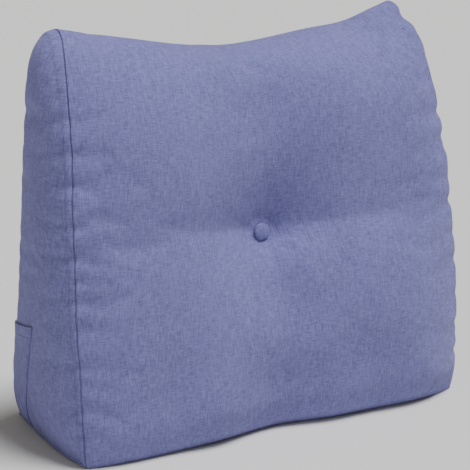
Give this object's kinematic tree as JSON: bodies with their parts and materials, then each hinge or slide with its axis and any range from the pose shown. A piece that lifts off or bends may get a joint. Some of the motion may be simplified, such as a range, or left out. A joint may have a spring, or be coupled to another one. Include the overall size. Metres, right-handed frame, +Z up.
{
  "type": "wedge back cushion",
  "caption": "Stuffed wedge back cushion with a deep base, a narrow top, a leaning front tufted by one covered button, and a patch pocket on its side.",
  "frame": {"origin": "on the floor under the middle of the base, midway between the side seams", "axes": "+X along the cushion's width, from the pocket side to the other, +Y from the tufted front to the back, +Z up"},
  "size_m": [0.5881, 0.2571, 0.513],
  "materials": {
    "cushion_cloth": "matte",
    "button_cloth": "matte",
    "pocket_cloth": "matte"
  },
  "bodies": {
    "root": {"cushion_body": "cushion_cloth", "button": "button_cloth", "side_pocket": "pocket_cloth"}
  },
  "joints": []
}
